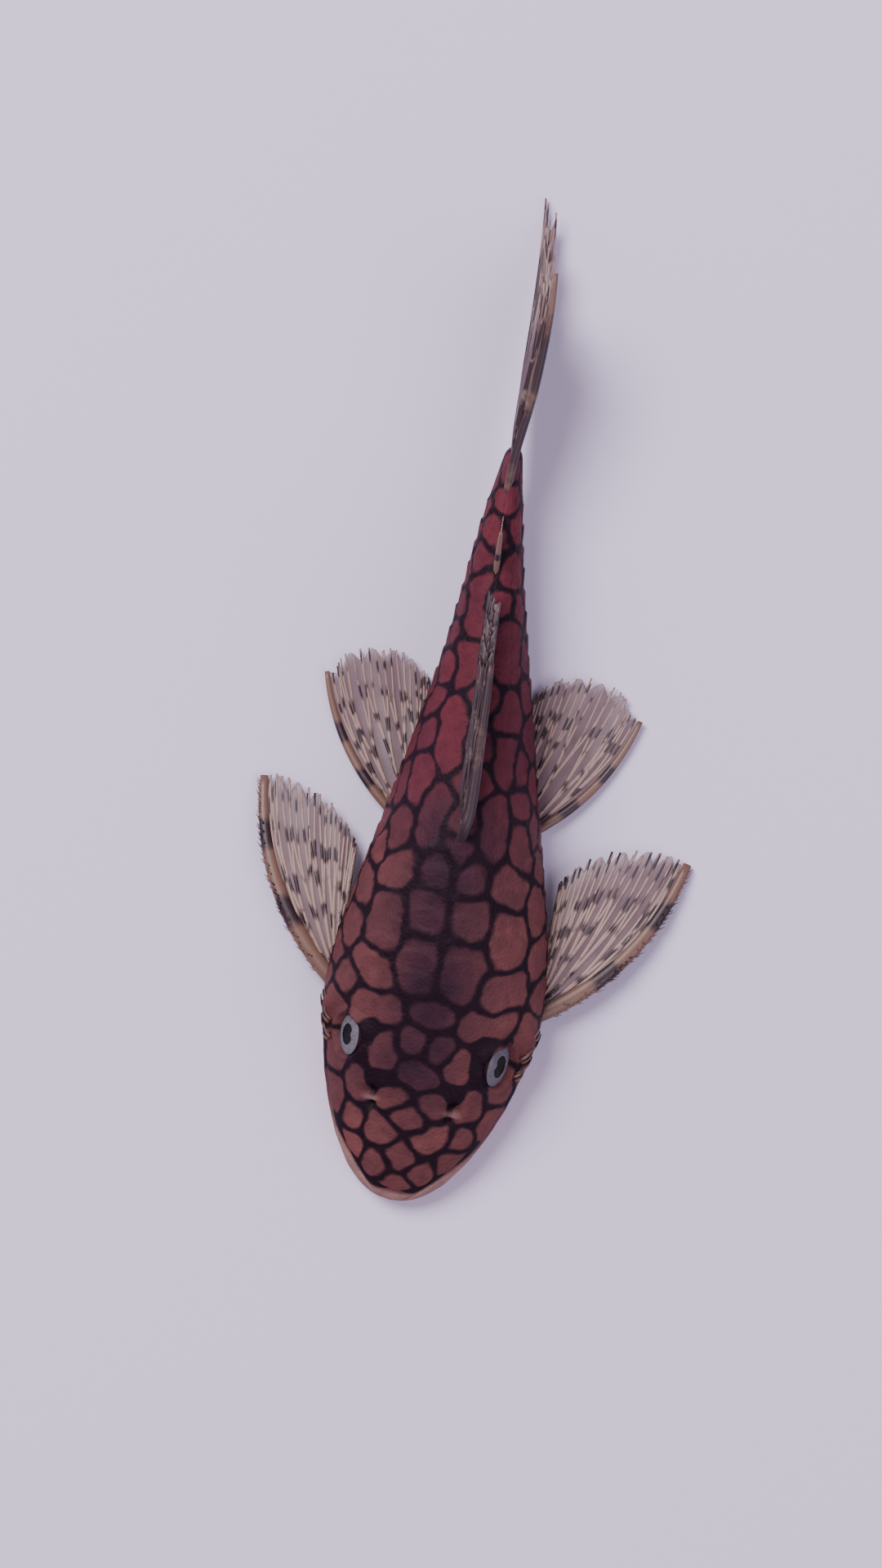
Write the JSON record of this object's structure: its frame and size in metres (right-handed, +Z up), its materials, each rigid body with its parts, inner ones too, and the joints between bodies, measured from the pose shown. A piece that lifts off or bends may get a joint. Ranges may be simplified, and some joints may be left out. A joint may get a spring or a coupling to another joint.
{
  "type": "bristlenose pleco",
  "caption": "Small armoured suckermouth catfish lying on its belly, fins half spread and tail gently bent, as a life-size still model.",
  "frame": {"origin": "on the floor, under the middle of the whole animal", "axes": "-Y towards the snout, +Z up, +X towards the animal's left side"},
  "size_m": [0.0256, 0.06, 0.0099],
  "materials": {
    "skin": "satin skin over bony plates",
    "fins": "satin fin membrane and rays",
    "lips": "soft bare skin",
    "eyes": "wet, glossy"
  },
  "bodies": {
    "root": {"head": "skin", "torso": "skin", "tail": "skin", "eye_left": "eyes", "eye_right": "eyes", "sucker_mouth": "lips", "whisker_left": "lips", "whisker_right": "lips", "pectoral_fin_left": "fins", "pectoral_fin_right": "fins", "pelvic_fin_left": "fins", "pelvic_fin_right": "fins", "dorsal_fin": "fins", "adipose_fin": "fins", "anal_fin": "fins", "caudal_fin": "fins"}
  },
  "joints": []
}
